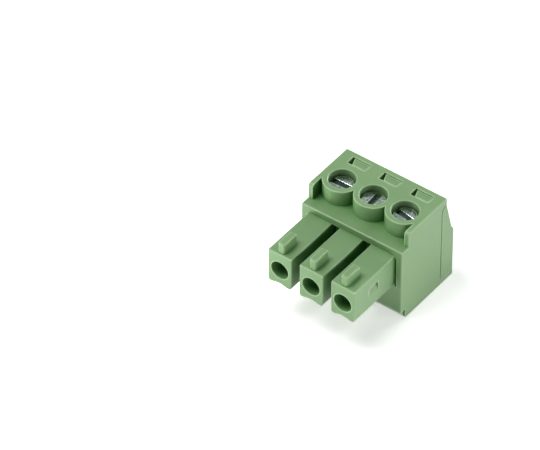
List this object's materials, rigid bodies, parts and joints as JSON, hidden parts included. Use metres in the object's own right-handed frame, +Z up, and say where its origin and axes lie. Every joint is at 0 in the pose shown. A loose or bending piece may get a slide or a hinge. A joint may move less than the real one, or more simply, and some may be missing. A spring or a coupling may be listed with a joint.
{
  "type": "pluggable screw terminal block",
  "caption": "Pluggable screw terminal block: fingers with socket contacts plug onto header pins, wires enter at the rear and are held by rising cages under slotted screws.",
  "frame": {"origin": "middle of the footprint, on the plane of the underside", "axes": "+X along the row of poles, -Y the way the fingers point, +Y the side the wires enter, +Z up, where the screws are worked from"},
  "size_m": [0.0122, 0.0154, 0.0111],
  "materials": {
    "green_plastic": "fine eroded mould texture, semi-matte",
    "plated_steel": "bright zinc plating, turned",
    "nickelled_brass": "nickel plating over brass",
    "tinned_copper": "matt tin plating over copper alloy"
  },
  "bodies": {
    "housing": {"housing": "green_plastic", "rear_cover": "green_plastic", "contact_1": "tinned_copper", "contact_2": "tinned_copper", "contact_3": "tinned_copper"},
    "screw_1": {"screw_1": "plated_steel"},
    "screw_2": {"screw_2": "plated_steel"},
    "screw_3": {"screw_3": "plated_steel"},
    "cage_1": {"cage_1": "nickelled_brass"},
    "cage_2": {"cage_2": "nickelled_brass"},
    "cage_3": {"cage_3": "nickelled_brass"}
  },
  "joints": [
    {"name": "cage_1_rise", "type": "slide", "parent": "housing", "child": "cage_1", "axis": [0, 0, 1], "range_m": [0, 0.002]},
    {"name": "screw_1_turn", "type": "hinge", "parent": "housing", "child": "screw_1", "pos_m": [-0.00381, 0.00248, 0.009], "axis": [0, 0, -1], "range_deg": [0, 1800]},
    {"name": "cage_2_rise", "type": "slide", "parent": "housing", "child": "cage_2", "axis": [0, 0, 1], "range_m": [0, 0.002]},
    {"name": "screw_2_turn", "type": "hinge", "parent": "housing", "child": "screw_2", "pos_m": [0, 0.00248, 0.009], "axis": [0, 0, -1], "range_deg": [0, 1800]},
    {"name": "cage_3_rise", "type": "slide", "parent": "housing", "child": "cage_3", "axis": [0, 0, 1], "range_m": [0, 0.002]},
    {"name": "screw_3_turn", "type": "hinge", "parent": "housing", "child": "screw_3", "pos_m": [0.00381, 0.00248, 0.009], "axis": [0, 0, -1], "range_deg": [0, 1800]}
  ],
  "couplings": [
    {"joint": "screw_1_turn", "follows": "cage_1_rise", "rad_per_m": 15708},
    {"joint": "screw_2_turn", "follows": "cage_2_rise", "rad_per_m": 15708},
    {"joint": "screw_3_turn", "follows": "cage_3_rise", "rad_per_m": 15708}
  ]
}
